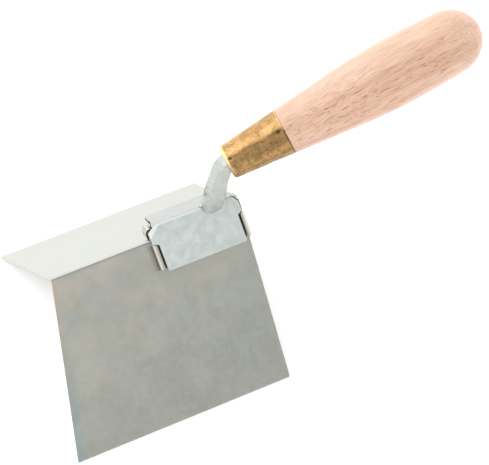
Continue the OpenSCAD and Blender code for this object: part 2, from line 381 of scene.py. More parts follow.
class Nodes:
    """A short way to write shader nodes; `place` is where on the object or in the sky."""

    def __init__(self, tree, place="Object"):
        self.tree = tree
        self.place = self.add("ShaderNodeTexCoord", {}, place)

    def add(self, kind, inputs, output=0, **settings):
        """Adds a node with settings and inputs, and returns one of its outputs."""
        node = self.tree.nodes.new(kind)
        for key, value in settings.items():
            setattr(node, key, value)
        for key, value in inputs.items():
            self.feed(node.inputs[key], value)
        return node.outputs[output]

    def feed(self, socket, value):
        """Links a node's output to a socket, or sets the socket to a colour or a number."""
        if isinstance(value, bpy.types.NodeSocket):
            self.tree.links.new(value, socket)
        elif socket.type == "RGBA":
            socket.default_value = (*value, 1.0)
        else:
            socket.default_value = value

    def shift(self, vector, location=(0, 0, 0), rotation=(0, 0, 0), scale=(1, 1, 1)):
        inputs = {"Vector": vector, "Location": location, "Rotation": rotation, "Scale": scale}
        return self.add("ShaderNodeMapping", inputs)

    def noise(self, scale, detail=3, roughness=0.6, distortion=0.0, at=None):
        inputs = {"Vector": at or self.place, "Scale": scale, "Detail": detail}
        inputs |= {"Roughness": roughness, "Distortion": distortion}
        return self.add("ShaderNodeTexNoise", inputs, "Fac")

    def span(self, value, low, high, to_low=0.0, to_high=1.0):
        """Goes smoothly from to_low to to_high while the value goes from low to high."""
        inputs = {"Value": value, "From Min": low, "From Max": high, "To Min": to_low, "To Max": to_high}
        return self.add("ShaderNodeMapRange", inputs, interpolation_type="SMOOTHSTEP")

    def math(self, operation, first, second=0.0):
        return self.add("ShaderNodeMath", {0: first, 1: second}, operation=operation)

    def plus(self, first, second):
        return self.math("ADD", first, second)

    def minus(self, first, second):
        return self.math("SUBTRACT", first, second)

    def most(self, first, second):
        return self.math("MAXIMUM", first, second)

    def times(self, first, *others):
        for other in others:
            first = self.math("MULTIPLY", first, other)
        return first

    def dot(self, direction):
        inputs = {0: self.place, 1: direction}
        return self.add("ShaderNodeVectorMath", inputs, "Value", operation="DOT_PRODUCT")

    def along(self, direction, start=0.0):
        """Distance of the place along a direction, in millimetres."""
        return self.minus(self.dot(Vector(direction) / MM), start)

    def near(self, spot, radius, blur):
        """1 within a radius of a spot, falling to 0 over a blur, all in millimetres."""
        inputs = {0: self.place, 1: spot * MM}
        distance = self.add("ShaderNodeVectorMath", inputs, "Value", operation="DISTANCE")
        return self.span(distance, (radius + blur) * MM, radius * MM)

    def stripe(self, distance, half_width, blur):
        """1 where a distance is within a half width of zero, falling to 0 over a blur."""
        return self.span(self.math("ABSOLUTE", distance), half_width + blur, half_width)

    def mix(self, share, first, second):
        return self.add("ShaderNodeMix", {0: share, 6: first, 7: second}, 2, data_type="RGBA")

    def bump(self, height, depth, strength):
        """Normals of a surface whose height varies by a depth in millimetres."""
        inputs = {"Height": height, "Distance": depth * MM, "Strength": strength}
        return self.add("ShaderNodeBump", inputs)


class Paint(Nodes):
    """A material whose colour is painted coat by coat."""

    def __init__(self, name, color=WHITE):
        self.material = bpy.data.materials.new(name)
        self.material.use_nodes = True
        self.color = color
        super().__init__(self.material.node_tree)

    def blend(self, share, first, second):
        """Starts the colour as a blend of two."""
        self.color = self.mix(share, first, second)

    def coat(self, color, *shares):
        """Paints over what is there as much as all the shares multiplied."""
        self.color = self.mix(self.times(*shares), self.color, color)

    def finish(self, roughness, metallic=0.0, normal=None, **others):
        """Sets the shader; other inputs are named with _ for a space."""
        inputs = {"Base Color": self.color, "Roughness": roughness, "Metallic": metallic}
        inputs |= {key.replace("_", " "): value for key, value in others.items()}
        if normal is not None:
            inputs["Normal"] = normal
        shader = self.tree.nodes["Principled BSDF"]
        for key, value in inputs.items():
            self.feed(shader.inputs[key], value)
        return self.material


# Blade steel

STEEL = (0.495, 0.515, 0.455)
STEEL_LIGHT = (0.565, 0.575, 0.52)
STEEL_FAR_SHADE = (0.42, 0.445, 0.395)
STEEL_FINE = (0.61, 0.605, 0.575)
STEEL_SHADE = (0.42, 0.44, 0.42)
TINT_BROWN = (0.61, 0.54, 0.46)
TINT_COOL = (0.50, 0.55, 0.54)
TINT_BLUE = (0.36, 0.46, 0.49)
TINT_TAN = (0.60, 0.46, 0.34)
FOLD_SHADE = (0.47, 0.455, 0.42)
CREASE_SHADE = (0.10, 0.105, 0.10)
TAB_SHADE = (0.15, 0.135, 0.12)


def tints_and_far_shade(n, clouds, tints, down, near_side):
    """Cloudy steel with painted shade towards the far corner, and brown and cool places."""
    far = n.plus(n.times(n.along((1, 0, 0)), 0.45), down)
    n.blend(n.span(clouds, 0.36, 0.64), STEEL, STEEL_LIGHT)
    # Painted shade: the steel darkens towards the far corner.
    n.coat(STEEL_FAR_SHADE, n.span(far, 0, 115, 0, 0.9))
    near_fold = n.span(far, 75, 5, 0.15, 0.8)
    n.coat(TINT_BROWN, near_fold, n.span(tints, 0.40, 0.62), near_side)
    n.coat(TINT_COOL, n.span(tints, 0.45, 0.33, 0, 0.38), near_side)


def fold_shading(n, down):
    """Painted shade along the fold, and a thin painted shade line beside it."""
    fold_shade = n.stripe(n.along((0, 1, 0), 0.7), 1.2, 0.9)
    # Painted shade over the rounded fold.
    n.coat(FOLD_SHADE, fold_shade, 0.8)
    # Painted shade: a thin dark line beside the fold.
    line = n.stripe(n.minus(down, CREASE_LINE), 0.08, 0.22)
    n.coat(CREASE_SHADE, line, 0.7)


def front_edge_tints(n, tints, down, near_side):
    """Blue low on the front edge of the wing at -Y, and tan higher up."""
    front = n.along(Vector((1, 0, 0)) + on_wing(-1, 0, FRONT_FLARE / WING_WIDTH, 0))
    low = n.times(n.span(front, 7, 0.5), n.span(down, 30, 75, 0, 0.75))
    n.coat(TINT_BLUE, low, n.span(tints, 0.35, 0.6, 0.4, 1))
    high = n.times(n.span(front, 3, 0.3), n.span(down, 55, 20, 0, 0.5))
    n.coat(TINT_TAN, high, near_side)


def tab_shade(n, down):
    """Painted shade in front of the tab at -Y and along the top of the one at +Y."""
    x = n.along((1, 0, 0), FRONT_TAB_X)
    beside = n.times(n.span(down, TAB_START - 0.8, TAB_START + 0.4), n.span(down, TAB_END + 0.8, TAB_END))
    rising = n.plus(n.span(x, -2.8, -0.8, 0, 0.3), n.span(x, -1.0, -0.4, 0, 0.55))
    corner = n.times(rising, n.span(x, 1.0, 0.3), beside)
    height = n.along(on_wing(1, 0, 0, 1))
    top = n.span(height, TAB_HEIGHT - 1.3, TAB_HEIGHT - 0.7, 0, 0.8)
    # Painted shade at the tabs.
    n.coat(TAB_SHADE, n.most(corner, n.times(top, n.span(x, 1.6, 0.8))))


def tempered_steel():
    """Spring steel with heat tints and a faint grind down the wings, and painted shade on the one at +Y,
    towards the far corner, along the fold and at the tabs.
    """
    n = Paint("tempered_steel")
    clouds = n.noise(55, 5, distortion=0.5)
    tints = n.noise(62, 4, distortion=0.4, at=n.shift(n.place, (0.31, 0.12, 0.07)))
    fine = n.noise(330, 4, 0.65)
    grind = n.noise(1, 2, 0.5, at=n.shift(n.place, scale=(1100, 30, 30)))
    down = n.along(on_wing(-1, 0, 1, 0))
    near_side = n.span(n.along((0, -1, 0)), 0, 3, 0.12, 1)
    tints_and_far_shade(n, clouds, tints, down, near_side)
    n.coat(STEEL_FINE, n.span(fine, 0.35, 0.65, 0, 0.2))
    fold_shading(n, down)
    front_edge_tints(n, tints, down, near_side)
    tab_shade(n, down)
    # Painted shade: the wing at +Y is darkened all over.
    n.coat(STEEL_SHADE, n.span(n.along((0, 1, 0)), 1, 3, 0, 0.45))
    rough = n.span(n.plus(clouds, n.times(fine, 0.5)), 0.5, 1.1, 0.34, 0.46)
    return n.finish(rough, 1.0, n.bump(n.plus(grind, fine), 0.004, 0.5))


# Zinc plate, and painted shade for cut edges and gaps

ZINC = (0.67, 0.735, 0.72)
ZINC_LIGHT = (0.73, 0.785, 0.765)
ZINC_FINE = (0.62, 0.675, 0.655)
ZINC_SHADE = (0.455, 0.465, 0.455)
RIM_SHADE = (0.04, 0.04, 0.038)
GAP_SHADE_BLACK = (0.012, 0.012, 0.011)
GAP_SHADE_DARK = (0.05, 0.048, 0.044)
UNSHADED_EDGE = (0.68, 0.69, 0.66)


def on_hip(n, end, hip, share):
    """A share on the slope at one corner of the saddle's leg at -Y, and 0 elsewhere."""
    place, normal = hip_plane(end, -1, hip)
    slope = n.stripe(n.along(normal, normal.dot(place)), 0.03, 0.06)
    return n.times(slope, n.span(n.along((0, -1, 0)), -0.5, 0.5, 0, share))


def back_rim_shade(n):
    """A painted shade line along the back of the saddle, down to its ear at -Y."""
    x = n.along((1, 0, 0), SADDLE_X + SADDLE_HALF)
    down = n.along((0, -1 / SIN_FOLD, 0))
    narrowing = SADDLE_HALF - RIDGE_HALF
    slope = narrowing / EAR_START
    corner = n.minus(n.plus(x, narrowing), n.times(down, slope))
    inwards = n.most(n.times(corner, 1 / math.hypot(1, slope)), x)
    line = n.span(inwards, -0.65, -0.35, 0, 0.9)
    return n.times(line, n.times(n.span(down, -0.4, 0), n.span(down, 8, 5)))


def zinc_plate():
    """Bright, finely mottled zinc plating, with painted shade on the leg at +Y, on the hips and along the
    back rim.
    """
    n = Paint("zinc_plate")
    clouds = n.noise(190, 4, distortion=0.5)
    fine = n.noise(800)
    n.blend(n.span(clouds, 0.35, 0.65), ZINC, ZINC_LIGHT)
    n.coat(ZINC_FINE, n.span(fine, 0.35, 0.65, 0, 0.4))
    far_side = n.span(n.along((0, 1, 0)), -0.9, 0.3)
    hips = n.most(on_hip(n, -1, FRONT_HIP, 0.75), on_hip(n, 1, BACK_HIP, 0.95))
    # Painted shade on the leg at +Y and on the sloped corners.
    n.coat(ZINC_SHADE, n.most(far_side, hips))
    # Painted shade along the back rim.
    n.coat(RIM_SHADE, back_rim_shade(n))
    rough = n.span(clouds, 0.3, 0.7, 0.42, 0.55)
    return n.finish(rough, 1.0, n.bump(n.plus(fine, clouds), 0.02, 0.6))


def unshaded_edge(n):
    """A share on the lower half of the cut edges of the saddle's leg at +Y, left out of the painted shade."""
    low = n.span(n.along(on_wing(1, 0, 0, 1)), STAND - 1.2, STAND - 1.9)
    return n.times(low, n.span(n.along((0, 1, 0)), 6.5, 8))


def gap_shade_steel(name, unshaded=None):
    """Near-black steel that paints the shade in the gaps at the tabs and inside their hooks; the function
    given second, if any, gives the share of it that is left lighter.
    """
    n = Paint(name)
    shade_noise = n.noise(500)
    n.blend(n.span(shade_noise, 0.35, 0.65), GAP_SHADE_BLACK, GAP_SHADE_DARK)
    if unshaded:
        # Lightens part of the painted shade.
        n.coat(UNSHADED_EDGE, unshaded(n))
    rough = n.span(shade_noise, 0.3, 0.7, 0.6, 0.85)
    return n.finish(rough, 0.0, n.bump(shade_noise, 0.02, 0.5))


# Neck and weld steel

FORGED = (0.42, 0.44, 0.415)
FORGED_LIGHT = (0.535, 0.55, 0.52)
FORGED_FINE = (0.39, 0.405, 0.38)
CASTING_DARK = (0.13, 0.13, 0.125)
WELD_GREY = (0.46, 0.475, 0.455)
WELD_BRIGHT = (0.74, 0.75, 0.73)
WELD_PIT = (0.12, 0.12, 0.115)


def forged_steel():
    """Zinc plated forging with soft lumps and dark casting marks."""
    n = Paint("forged_steel")
    lumps = n.noise(160, 3, 0.55, 0.3)
    fine = n.noise(800)
    pits = n.noise(1000, 3, 0.55)
    n.blend(n.span(lumps, 0.35, 0.65), FORGED, FORGED_LIGHT)
    n.coat(FORGED_FINE, n.span(fine, 0.38, 0.62, 0, 0.5))
    marks = n.times(n.near(CASTING_MARKS, 3.2, 1.8), n.span(pits, 0.50, 0.56))
    n.coat(CASTING_DARK, marks, 0.85)
    rough = n.span(lumps, 0.3, 0.7, 0.38, 0.52)
    height = n.minus(n.plus(lumps, n.times(fine, 0.3)), marks)
    return n.finish(rough, 1.0, n.bump(height, 0.13, 0.6))


def weld_steel():
    """Bright lumpy weld metal with a few dark pits."""
    n = Paint("weld_steel")
    lumps = n.noise(420)
    pits = n.noise(700, 2, 0.5)
    n.blend(n.span(lumps, 0.35, 0.65), WELD_GREY, WELD_BRIGHT)
    n.coat(WELD_PIT, n.span(pits, 0.60, 0.68, 0, 0.8))
    rough = n.span(lumps, 0.3, 0.7, 0.4, 0.6)
    return n.finish(rough, 0.4, n.bump(lumps, 0.12, 0.6))


# Brass

BRASS = (0.46, 0.27, 0.10)
BRASS_LIGHT = (0.72, 0.46, 0.20)
BRASS_ORANGE = (0.68, 0.38, 0.17)
BRASS_BROWN = (0.25, 0.165, 0.075)
BRASS_GREEN = (0.38, 0.30, 0.12)
BRASS_RED = (0.86, 0.46, 0.22)
BRASS_FINE = (0.74, 0.54, 0.28)
BRASS_PIT = (0.17, 0.10, 0.035)
BRASS_LOW_SHADE = (0.22, 0.135, 0.05)
BRASS_TOP_SHADE = (0.40, 0.22, 0.09)
RIM_HIGHLIGHT = (0.92, 0.72, 0.36)
LOW_WARM = (0.52, 0.27, 0.11)
LOW_BROWN = (0.13, 0.07, 0.025)
VALLEY_SHADE = (0.24, 0.14, 0.05)
SEAM_DARK = (0.14, 0.065, 0.02)
SPOT_DARK = (0.04, 0.02, 0.009)
SCRATCH_DARK = (0.16, 0.08, 0.025)
JOINT_SHADE = (0.14, 0.07, 0.025)


def handle_place(n):
    """Place from the ferrule's mouth: X along the handle, Z from its axis towards its top."""
    mouth = Vector((ALONG.dot(MOUTH), 0, ABOVE.dot(MOUTH))) * MM
    return n.shift(n.place, -mouth, (0, HANDLE_TILT, 0))


def tarnish_and_shade(n, streaks, blotches, fine, low_side):
    """Blotched brass with brown painted shade on its low side, which is also more mottled, and painted shade
    along its top.
    """
    small = n.noise(430, distortion=0.4, at=n.shift(n.place, (0.2, 0.4, 0.1)))
    n.blend(n.span(streaks, 0.36, 0.64), BRASS, BRASS_LIGHT)
    n.coat(BRASS_ORANGE, n.span(blotches, 0.46, 0.33, 0, 0.65))
    n.coat(BRASS_BROWN, n.span(blotches, 0.52, 0.66, 0, 0.75))
    n.coat(BRASS_GREEN, n.span(small, 0.50, 0.62, 0, 0.6))
    n.coat(BRASS_RED, n.span(small, 0.47, 0.36, 0, 0.7))
    n.coat(BRASS_FINE, n.span(fine, 0.5, 0.72, 0, 0.5))
    n.coat(BRASS_PIT, n.span(fine, 0.48, 0.34, 0, 0.7))
    # Painted shade on the low side.
    n.coat(BRASS_LOW_SHADE, low_side, 0.7)
    n.coat(LOW_WARM, n.span(small, 0.50, 0.38, 0, 0.38), low_side)
    n.coat(LOW_BROWN, n.span(small, 0.51, 0.62, 0, 0.4), low_side)
    # Painted shade along the top.
    n.coat(BRASS_TOP_SHADE, n.span(n.along(ABOVE, ABOVE.dot(MOUTH)), 6.5, 10, 0, 0.42))


def seam_marks_and_shade(n, aside, front, streaks, blotches, fine):
    """A soft valley in painted shade, a broken dark line, a dark spot at each end and a scratch above."""
    valley = n.times(n.stripe(n.plus(aside, 0.2), 0.3, 3.2), front)
    # Painted shade in the seam's valley.
    n.coat(VALLEY_SHADE, valley, 0.30)
    wander = n.times(n.minus(streaks, 0.5), 5)
    line = n.times(n.stripe(n.plus(aside, wander), 0.1, 0.9), front)
    n.coat(SEAM_DARK, line, n.span(blotches, 0.38, 0.6, 0.2, 0.55))
    spots = n.most(n.near(SEAM_SPOTS[0], 0.3, 0.9), n.near(SEAM_SPOTS[1], 0.4, 1.2))
    n.coat(SPOT_DARK, n.most(spots, n.near(JOINT_GAP, 0.3, 0.8)), 0.85)
    scratch = n.times(n.near(SCRATCH, 0.8, 1.4), n.span(fine, 0.46, 0.56))
    n.coat(SCRATCH_DARK, scratch, 0.8)
    return line


def ferrule_ends(n, at, low_side):
    """A painted highlight on the rolled mouth and, fainter, on the rim at the joint, weaker on the low side,
    and painted shade on the joint's low side.
    """
    mouth = n.span(at, 1.9, 0.9, 0, 0.85)
    joint = n.span(at, FERRULE_LENGTH - 0.8, FERRULE_LENGTH - 0.4)
    bright = n.most(mouth, n.times(joint, 0.5))
    # Painted highlight on the mouth and the joint rim.
    n.coat(RIM_HIGHLIGHT, bright, n.span(low_side, 0.0, 0.7, 1, 0.2))
    # Painted shade at the joint on the low side.
    n.coat(JOINT_SHADE, joint, 0.8, low_side)


def aged_brass():
    """Thin brown-tarnished brass with painted shade, a dark pressed seam and painted highlights on its ends.
    """
    n = Paint("aged_brass")
    turned = handle_place(n)
    seam = {"Vector": n.shift(turned, rotation=(-SEAM_ANGLE, 0, 0))}
    at, aside, height = [n.times(n.add("ShaderNodeSeparateXYZ", seam, axis), 1 / MM) for axis in "XYZ"]
    front = n.span(height, 0, 1)
    streaks = n.noise(190, 5, 0.65, 0.6, at=n.shift(turned, scale=(0.45, 1, 1)))
    blotches = n.noise(210, 5, 0.65, 0.5)
    fine = n.noise(1000, 4, 0.7)
    low_side = n.span(n.along((0, -1, 0)), 3, 10)
    tarnish_and_shade(n, streaks, blotches, fine, low_side)
    line = seam_marks_and_shade(n, aside, front, streaks, blotches, fine)
    ferrule_ends(n, at, low_side)
    rough = n.span(streaks, 0.3, 0.7, 0.42, 0.28)
    height = n.minus(n.plus(blotches, n.times(fine, 0.6)), n.times(line, 0.3))
    return n.finish(rough, 1.0, n.bump(height, 0.09, 0.6))


# Beech

BEECH = (0.67, 0.46, 0.335)
BEECH_LIGHT = (0.73, 0.525, 0.40)
BEECH_RUDDY = (0.60, 0.365, 0.245)
BEECH_RUDDY_LIGHT = (0.71, 0.475, 0.345)
FIBRE_BROWN = (0.51, 0.285, 0.175)
FLECK_BROWN = (0.29, 0.12, 0.055)
GAP_DARK = (0.04, 0.02, 0.01)
SHEEN_PINK = (1.0, 0.70, 0.68)


def beech():
    """Pale turned beech with streaks and short dark flecks along the grain, denser on one side, where the
    wood is ruddier and darker in painted shade.
    """
    n = Paint("beech")
    turned = handle_place(n)
    rings = n.noise(230, 4, distortion=0.4, at=n.shift(turned, scale=(0.05, 1, 1)))
    fibres = n.noise(1900, at=n.shift(turned, scale=(0.035, 1, 1)))
    flecks = n.noise(2200, 2, 0.5, at=n.shift(turned, (0.02, 0, 0), scale=(0.07, 1, 1)))
    patches = n.noise(75, 3, 0.5, at=n.shift(turned, scale=(0.4, 1, 1)))
    low_side = n.span(n.along((0, -1, 0)), -5, 9)
    # Ruddier wood and painted shade on the low side.
    ruddy_shade = n.times(low_side, n.span(patches, 0.3, 0.55, 0.35, 1))
    pale = n.mix(n.span(rings, 0.35, 0.65), BEECH, BEECH_LIGHT)
    ruddy = n.mix(n.span(rings, 0.35, 0.65), BEECH_RUDDY, BEECH_RUDDY_LIGHT)
    n.blend(ruddy_shade, pale, ruddy)
    n.coat(FIBRE_BROWN, n.span(fibres, 0.42, 0.66, 0, 0.5))
    marks = n.times(n.span(flecks, 0.60, 0.665), n.plus(n.times(ruddy_shade, 0.75), 0.12))
    n.coat(FLECK_BROWN, marks)
    n.coat(GAP_DARK, n.near(JOINT_GAP, 0.2, 0.5), 0.9)
    rough = n.span(fibres, 0.3, 0.7, 0.42, 0.55)
    normal = n.bump(n.minus(fibres, marks), 0.03, 0.5)
    return n.finish(rough, 0.0, normal, Sheen_Weight=0.6, Sheen_Roughness=0.4, Sheen_Tint=SHEEN_PINK)


def pale_floor():
    """White floor with a slight glow, so that the tool's shadows stay faint."""
    n = Paint("pale_floor")
    return n.finish(FLOOR_ROUGHNESS, Emission_Color=WHITE, Emission_Strength=FLOOR_GLOW)


# Blade


def ridge_tangent(radius):
    """Distance down a flank from the virtual ridge to where its rounding ends."""
    return radius / math.tan(HALF_FOLD)


FOLD_ARC = FOLD_RADIUS * FOLD_TURN
FOLD_SLACK = ridge_tangent(FOLD_RADIUS) - FOLD_ARC  # the virtual ridge is this much further than the arc

# Paths of the tabs from their hinges, as (length, turn) stretches
QUARTER = math.pi / 2
ROOT = (ROOT_BEND * QUARTER, QUARTER)
RISER = (TAB_HEIGHT - ROOT_BEND - HOOK_BEND, 0)
FRONT_TAB = [ROOT, RISER, (HOOK_BEND * QUARTER, -QUARTER), (FRONT_LIP - HOOK_BEND, 0)]
BACK_TAB = [ROOT, RISER, ((HOOK_BEND - SHEET) * QUARTER, QUARTER), (BACK_LIP - HOOK_BEND, 0)]
FRONT_HINGE = FRONT_TAB_X - ROOT_BEND
BACK_HINGE = BACK_TAB_X - SHEET - ROOT_BEND
FRONT_TIP = FRONT_HINGE + sum(length for length, turn in FRONT_TAB)
BACK_TIP = BACK_HINGE + sum(length for length, turn in BACK_TAB)
SLOT_END = FRONT_TAB_X + SHEET + SLOT_LENGTH
TAB_STEPS = 6
FOLD_STEPS = 8

# Distances across the flat sheet
SHEET_REACH = WING_WIDTH - FOLD_SLACK
STRIP_START = TAB_START - FOLD_SLACK
STRIP_END = TAB_END - FOLD_SLACK


def tab_strip(side):
    """Where the tabs of one wing lie across the flat sheet, lower number first."""
    return sorted((side * STRIP_START, side * STRIP_END))


def back_edge(across):
    return FOLD_LENGTH - BACK_INSET * across / SHEET_REACH


def blade_outline():
    start, end = STRIP_START, STRIP_END
    half = [
        (back_edge(0), 0),
        (back_edge(start - SLIT), start - SLIT),
        (BACK_HINGE, start - SLIT),
        (BACK_HINGE, start),
        (BACK_TIP - TAB_CORNER, start),
        (BACK_TIP, start + TAB_CORNER),
        (BACK_TIP, end - TAB_CORNER),
        (BACK_TIP - TAB_CORNER, end),
        (BACK_HINGE, end),
        (BACK_HINGE, end + SLIT),
        (back_edge(end + SLIT), end + SLIT),
        (back_edge(SHEET_REACH), SHEET_REACH),
        (-FRONT_FLARE, SHEET_REACH),
    ]
    return half + [(0, 0)] + [(x, -y) for x, y in reversed(half[1:])]


def divide_tab(flat, hinge, tip, tab, low, high):
    """Creases a tab across wherever its path is round."""
    at = hinge
    for length, turn in tab:
        for i in range(TAB_STEPS + 1 if turn else 0):
            inside = faces_within(flat, hinge, tip, low, high)
            crease(flat, (at + length * i / TAB_STEPS, 0), (1, 0), inside)
        at += length


def chamfer_front_tab(flat, low, high):
    """Creases the corners of a front tab's tip and returns their faces."""
    start = FRONT_TIP - TAB_CORNER
    for y, slope in ((low, -1), (high, 1)):
        crease(flat, (start, y), (1, slope), faces_within(flat, FRONT_HINGE, FRONT_TIP, low, high))
    corners = []
    for face in faces_within(flat, FRONT_HINGE, FRONT_TIP, low, high):
        centre = face.calc_center_median()
        past = centre.x - start
        if max(past + centre.y - high, past + low - centre.y) > 0:
            corners.append(face)
    return corners


def cut_tabs(flat):
    """Frees the front tabs from their slots and divides all four tabs for bending."""
    for x in (FRONT_HINGE, FRONT_TIP, SLOT_END, BACK_HINGE):
        crease(flat, (x, 0), (1, 0))
    for side in (-1, 1):
        for y in (STRIP_START - SLIT, STRIP_START, STRIP_END, STRIP_END + SLIT):
            crease(flat, (0, side * y), (0, 1))
    waste = []
    for side in (-1, 1):
        low, high = tab_strip(side)
        slot = faces_within(flat, FRONT_HINGE, SLOT_END, low - SLIT, high + SLIT)
        tab = faces_within(flat, FRONT_HINGE, FRONT_TIP, low, high)
        waste += [face for face in slot if face not in tab]
        divide_tab(flat, FRONT_HINGE, FRONT_TIP, FRONT_TAB, low, high)
        divide_tab(flat, BACK_HINGE, BACK_TIP, BACK_TAB, low, high)
        waste += chamfer_front_tab(flat, low, high)
    bmesh.ops.delete(flat, geom=waste, context="FACES")


def tab_paths(flat):
    """The hinge and path of the tab that each vertex beyond a hinge is on."""
    paths = {}
    tabs = ((FRONT_HINGE, FRONT_TIP, FRONT_TAB), (BACK_HINGE, BACK_TIP, BACK_TAB))
    for side in (-1, 1):
        low, high = tab_strip(side)
        for hinge, tip, tab in tabs:
            for face in faces_within(flat, hinge, tip, low, high):
                paths.update({v: (hinge, tab) for v in face.verts if v.co.x > hinge + NEAR})
    return paths


def blade_pattern():
    """The blade laid flat: x along the fold, y across it, with the tabs still in the sheet."""
    flat = bmesh.new()
    flat.faces.new([flat.verts.new((x, y, 0)) for x, y in blade_outline()])
    for i in range(-FOLD_STEPS, FOLD_STEPS + 1):
        crease(flat, (0, FOLD_ARC * i / FOLD_STEPS), (0, 1))
    cut_tabs(flat)
    return flat


def in_hook(centre, normal):
    """Whether a face looks into the hook of a tab, or towards the ridge from the front tab at +Y."""
    margin = 0.1
    lowest = 0.3  # the wing's own faces are lower
    across = abs(centre.y)
    down = across * SIN_FOLD - centre.z * COS_FOLD
    out = across * COS_FOLD + centre.z * SIN_FOLD
    if out < lowest or not TAB_START - margin < down < TAB_END + margin:
        return False
    middle = (FRONT_TAB_X + BACK_TAB_X) / 2
    towards_ridge = normal.z * COS_FOLD - normal.y * SIN_FOLD
    if centre.y > 0 and centre.x < middle and towards_ridge > 0.8:
        return True
    end = -1 if centre.x < middle else 1
    reach = end * (centre.x - middle)
    wall = (BACK_TAB_X - FRONT_TAB_X) / 2 - SHEET
    return end * normal.x < -0.3 and reach < wall + margin / 2 and out > ROOT_BEND


def blade():
    flat = blade_pattern()
    paths = tab_paths(flat)

    def place(vert, depth):
        x, across = vert.co.x, vert.co.y
        side = 1 if across > 0 else -1
        if vert in paths:
            hinge, path = paths[vert]
            spot, heading = walk(path, x - hinge)
            x = hinge + spot.x + depth * math.sin(heading)
            return on_wing(side, x, abs(across) + FOLD_SLACK, spot.y - depth * math.cos(heading))
        if abs(across) > FOLD_ARC:
            return on_wing(side, x, abs(across) + FOLD_SLACK, -depth)
        y, z = over_ridge(across, -depth / SIN_FOLD, FOLD_RADIUS - depth, FOLD_ARC)
        return Vector((x, y, z))

    points, faces = shell(flat, place, SHEET)
    flat.free()
    piece = make_piece("blade_sheet", points, faces, tempered_steel(), "blade_steel", "blade")
    # Painted shade: faces inside the tabs' hooks take the near-black material.
    darken(piece, gap_shade_steel("hook_shade"), in_hook)
    soften_edges(piece, 0.12)


# Saddle

RIDGE_ARC = RIDGE_RADIUS * FOLD_TURN
RIDGE_SLACK = ridge_tangent(RIDGE_RADIUS) - RIDGE_ARC


def rounded(points, radii, steps=4):
    """A closed outline with each corner rounded to its own radius."""
    result = []
    count = len(points)
    for i, (point, radius) in enumerate(zip(points, radii)):
        here = Vector(point)
        if not radius:
            result.append(here)
            continue
        before = (Vector(points[i - 1]) - here).normalized()
        after = (Vector(points[(i + 1) % count]) - here).normalized()
        half = before.angle(after) / 2
        start = here + before * radius / math.tan(half)
        end = here + after * radius / math.tan(half)
        centre = here + (before + after).normalized() * radius / math.sin(half)
        for k in range(steps + 1):
            spoke = (start - centre).lerp(end - centre, k / steps).normalized()
            result.append(centre + spoke * radius)
    return result


def saddle_outline():
    """Corners of the flat saddle as x from its middle, y across, and radius; one has no ear."""
    quarter = [
        (RIDGE_HALF, 0, 0),
        (SADDLE_HALF, EAR_START, 1.2),
        (SADDLE_HALF, EAR_END, 0.8),
        (WALL_HALF, NOTCH_START, 0.6),
        (WALL_HALF, LEG, LEG_CORNER),
    ]
    square = [
        (RIDGE_HALF, 0, 0),
        (RIDGE_HALF + 0.2, EAR_START, 0.4),
        (WALL_HALF - 0.6, EAR_END, 0.8),
        (WALL_HALF, NOTCH_START + 2, 0.8),
        (WALL_HALF, LEG, LEG_CORNER),
    ]
    corners = []
    for turn, (sx, sy) in enumerate(((1, 1), (-1, 1), (-1, -1), (1, -1))):
        shape = square if turn == 1 else quarter
        part = [(sx * x, sy * (y - RIDGE_SLACK if y else 0), r) for x, y, r in shape]
        if turn % 2:
            part = part[::-1]
        corners += part[1:] if turn in (0, 2) else part
    return corners


def saddle_pattern():
    """The saddle laid flat: x from its middle along the fold, y across it."""
    corners = saddle_outline()
    flat = bmesh.new()
    smooth = rounded([c[:2] for c in corners], [c[2] for c in corners])
    flat.faces.new([flat.verts.new((*p, 0)) for p in smooth])
    for i in range(-FOLD_STEPS, FOLD_STEPS + 1):
        crease(flat, (0, RIDGE_ARC * i / FOLD_STEPS), (0, 1))
    wall = WALL_HALF - FLANGE
    for side in (-1, 1):
        for step in (0, FEET_CLEARANCE):
            crease(flat, (side * (wall - step), 0), (1, 0))
            crease(flat, (0, side * (LEG - RIDGE_SLACK - FLANGE - step)), (0, 1))
            crease(flat, (0, side * (FEET_START - RIDGE_SLACK - step)), (0, 1))
    return flat


def is_foot(x, across):
    """Whether a point of the flat saddle is over one of the walls that stand on the wings."""
    near = 1e-3
    down = abs(across) + RIDGE_SLACK
    if down > LEG - FLANGE - near:
        return True
    return abs(x) > WALL_HALF - FLANGE - near and down > FEET_START - near


def on_leg(side, x, down, out):
    """Point on a leg of the saddle; down starts at the virtual ridge of its outer faces."""
    return on_wing(side, x, down - STAND / math.tan(HALF_FOLD), out)


def saddle_point(vert, depth):
    """Place of a vertex of the flat saddle at a depth of 0 or PLATE."""
    x, across = vert.co.x, vert.co.y
    inside = depth > 0
    if abs(across) <= RIDGE_ARC + 1e-6:
        radius = RIDGE_INNER_RADIUS if inside else RIDGE_RADIUS
        y, z = over_ridge(across, (STAND - depth) / SIN_FOLD, radius, RIDGE_ARC)
        return Vector((SADDLE_X + x, y, z))
    side = 1 if across > 0 else -1
    down = abs(across) + RIDGE_SLACK
    if inside and is_foot(x, across):
        return on_leg(side, SADDLE_X + x, down, FEET_CLEARANCE)
    if inside and down < FEET_START:
        start = ridge_tangent(RIDGE_RADIUS)
        inner_start = PLATE / math.tan(HALF_FOLD) + ridge_tangent(RIDGE_INNER_RADIUS)
        share = (down - start) / (FEET_START - start)
        down = inner_start + share * (FEET_START - inner_start)
    return on_leg(side, SADDLE_X + x, down, STAND - depth)


